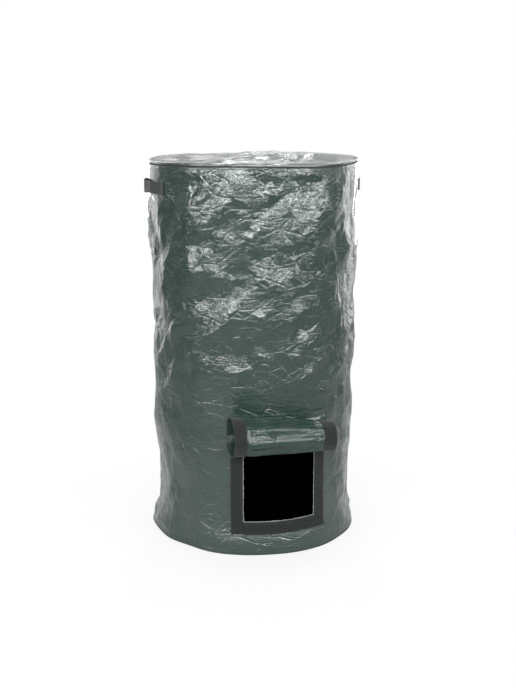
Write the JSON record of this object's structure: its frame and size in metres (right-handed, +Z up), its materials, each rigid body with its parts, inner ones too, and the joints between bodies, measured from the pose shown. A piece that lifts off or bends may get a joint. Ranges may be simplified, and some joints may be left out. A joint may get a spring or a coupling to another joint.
{
  "type": "compost bin",
  "caption": "Soft-sided round compost bin: a standing bag of coated woven sheet with a zipped lid, a roll-up door flap low at the front and a webbing handle on each side.",
  "frame": {"origin": "on the floor, at the centre of the round base", "axes": "+Z up along the bag's axis, -Y out of the door, +X to the right of a person facing the door"},
  "size_m": [0.4732, 0.5224, 0.808],
  "materials": {
    "coated_sheet": "gloss",
    "hook_and_loop": "matte",
    "thread": "matte",
    "webbing": "matte",
    "zip_tape": "matte",
    "zip_coil": "satin",
    "zip_metal": "satin"
  },
  "bodies": {
    "bag": {"side_wall": "coated_sheet", "base_panel": "coated_sheet", "base_seam_thread": "thread", "back_seam_thread": "thread", "rim_zip_tape": "zip_tape", "rim_zip_coil": "zip_coil", "zip_end_stops": "zip_coil", "rim_seam_thread": "thread", "hinge_strip": "coated_sheet", "door_loop_left": "hook_and_loop", "door_loop_right": "hook_and_loop", "door_loop_bottom": "hook_and_loop", "door_seam_thread": "thread", "flap_panel_1": "coated_sheet", "flap_seam_thread": "thread", "left_handle_tabs": "webbing", "right_handle_tabs": "webbing", "left_handle_thread": "thread", "right_handle_thread": "thread"},
    "lid": {"lid_panel": "coated_sheet", "lid_hinge_tab": "coated_sheet", "lid_zip_tape": "zip_tape", "lid_zip_coil": "zip_coil", "lid_seam_thread": "thread"},
    "slider": {"zip_slider": "zip_metal"},
    "pull": {"zip_pull": "zip_metal"},
    "left_handle": {"left_handle_strap": "webbing"},
    "right_handle": {"right_handle_strap": "webbing"},
    "flap_2": {"flap_panel_2": "coated_sheet", "flap_hook_2": "hook_and_loop"},
    "flap_3": {"flap_panel_3": "coated_sheet", "flap_hook_3": "hook_and_loop"},
    "flap_4": {"flap_panel_4": "coated_sheet", "flap_hook_4": "hook_and_loop"},
    "flap_5": {"flap_panel_5": "coated_sheet", "flap_hook_5": "hook_and_loop"},
    "flap_6": {"flap_panel_6": "coated_sheet", "flap_hook_6": "hook_and_loop"},
    "flap_7": {"flap_panel_7": "coated_sheet", "flap_hook_7": "hook_and_loop"},
    "flap_8": {"flap_panel_8": "coated_sheet", "flap_hook_8": "hook_and_loop", "flap_hook_bottom": "hook_and_loop"}
  },
  "joints": [
    {"name": "lid_fold", "type": "hinge", "parent": "bag", "child": "lid", "pos_m": [0, 0.2207, 0.8], "axis": [-1, 0, 0], "range_deg": [0, 235]},
    {"name": "zip_run", "type": "hinge", "parent": "bag", "child": "slider", "pos_m": [0, 0, 0.7924], "axis": [0, 0, 1], "range_deg": [0, 324.58]},
    {"name": "pull_swing", "type": "hinge", "parent": "slider", "child": "pull", "pos_m": [-0.05713, 0.21556, 0.7924], "axis": [0.9666, 0.2562, 0], "range_deg": [0, 150]},
    {"name": "left_handle_swing", "type": "hinge", "parent": "bag", "child": "left_handle", "pos_m": [-0.21462, 0, 0.7605], "axis": [0, 1, 0], "range_deg": [0, 60]},
    {"name": "right_handle_swing", "type": "hinge", "parent": "bag", "child": "right_handle", "pos_m": [0.21462, 0, 0.7605], "axis": [0, -1, 0], "range_deg": [0, 60]},
    {"name": "flap_roll_1", "type": "hinge", "parent": "bag", "child": "flap_2", "pos_m": [0, -0.2238, 0.254], "axis": [1, 0, 0], "range_deg": [0, 50]},
    {"name": "flap_roll_2", "type": "hinge", "parent": "flap_2", "child": "flap_3", "pos_m": [0, -0.24908, 0.23279], "axis": [1, 0, 0], "range_deg": [0, 50]},
    {"name": "flap_roll_3", "type": "hinge", "parent": "flap_3", "child": "flap_4", "pos_m": [0, -0.28059, 0.23835], "axis": [1, 0, 0], "range_deg": [0, 50]},
    {"name": "flap_roll_4", "type": "hinge", "parent": "flap_4", "child": "flap_5", "pos_m": [0, -0.29609, 0.26519], "axis": [1, 0, 0], "range_deg": [0, 50]},
    {"name": "flap_roll_5", "type": "hinge", "parent": "flap_5", "child": "flap_6", "pos_m": [0, -0.28583, 0.29338], "axis": [1, 0, 0], "range_deg": [0, 50]},
    {"name": "flap_roll_6", "type": "hinge", "parent": "flap_6", "child": "flap_7", "pos_m": [0, -0.25858, 0.3033], "axis": [1, 0, 0], "range_deg": [0, 50]},
    {"name": "flap_roll_7", "type": "hinge", "parent": "flap_7", "child": "flap_8", "pos_m": [0, -0.23433, 0.2893], "axis": [1, 0, 0], "range_deg": [0, 50]}
  ],
  "couplings": [
    {"joint": "flap_roll_2", "follows": "flap_roll_1", "ratio": 1},
    {"joint": "flap_roll_3", "follows": "flap_roll_1", "ratio": 1},
    {"joint": "flap_roll_4", "follows": "flap_roll_1", "ratio": 1},
    {"joint": "flap_roll_5", "follows": "flap_roll_1", "ratio": 1},
    {"joint": "flap_roll_6", "follows": "flap_roll_1", "ratio": 1},
    {"joint": "flap_roll_7", "follows": "flap_roll_1", "ratio": 1}
  ]
}
